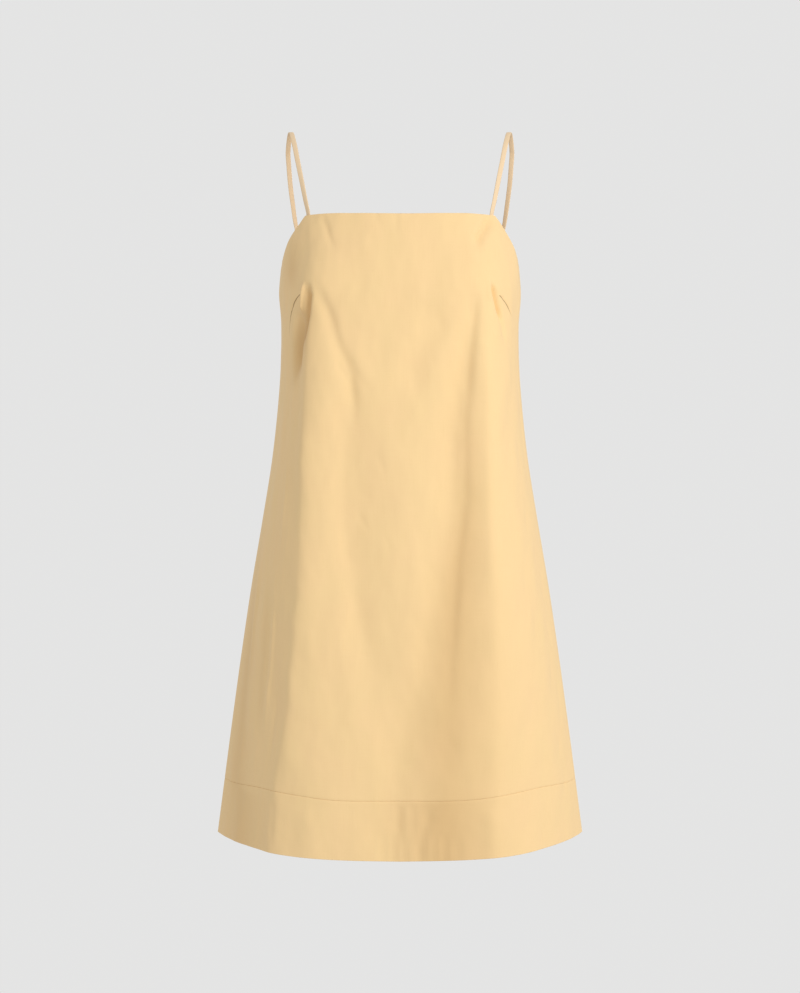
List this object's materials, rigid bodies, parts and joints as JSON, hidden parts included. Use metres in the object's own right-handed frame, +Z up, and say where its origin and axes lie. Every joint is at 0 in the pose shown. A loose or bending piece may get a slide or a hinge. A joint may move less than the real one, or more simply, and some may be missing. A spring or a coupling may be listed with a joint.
{
  "type": "spaghetti strap dress",
  "caption": "Short A-line dress with a straight neckline, two thin shoulder straps, curved bust darts and a deep hem band, hollow and filled out as worn.",
  "frame": {"origin": "midway between the undersides of the two straps, at the crowns that lie on the wearer's shoulders", "axes": "+Z up along the dress, the front faces -Y, the wearer's left is +X"},
  "size_m": [0.4524, 0.2893, 0.8708],
  "materials": {
    "cotton": "matt plain weave, butter yellow",
    "strap_cotton": "matt plain weave, sewn into a flat tube"
  },
  "bodies": {
    "root": {"front_panel": "cotton", "back_panel": "cotton", "front_hem_band": "cotton", "back_hem_band": "cotton", "left_strap": "strap_cotton", "right_strap": "strap_cotton"}
  },
  "joints": []
}
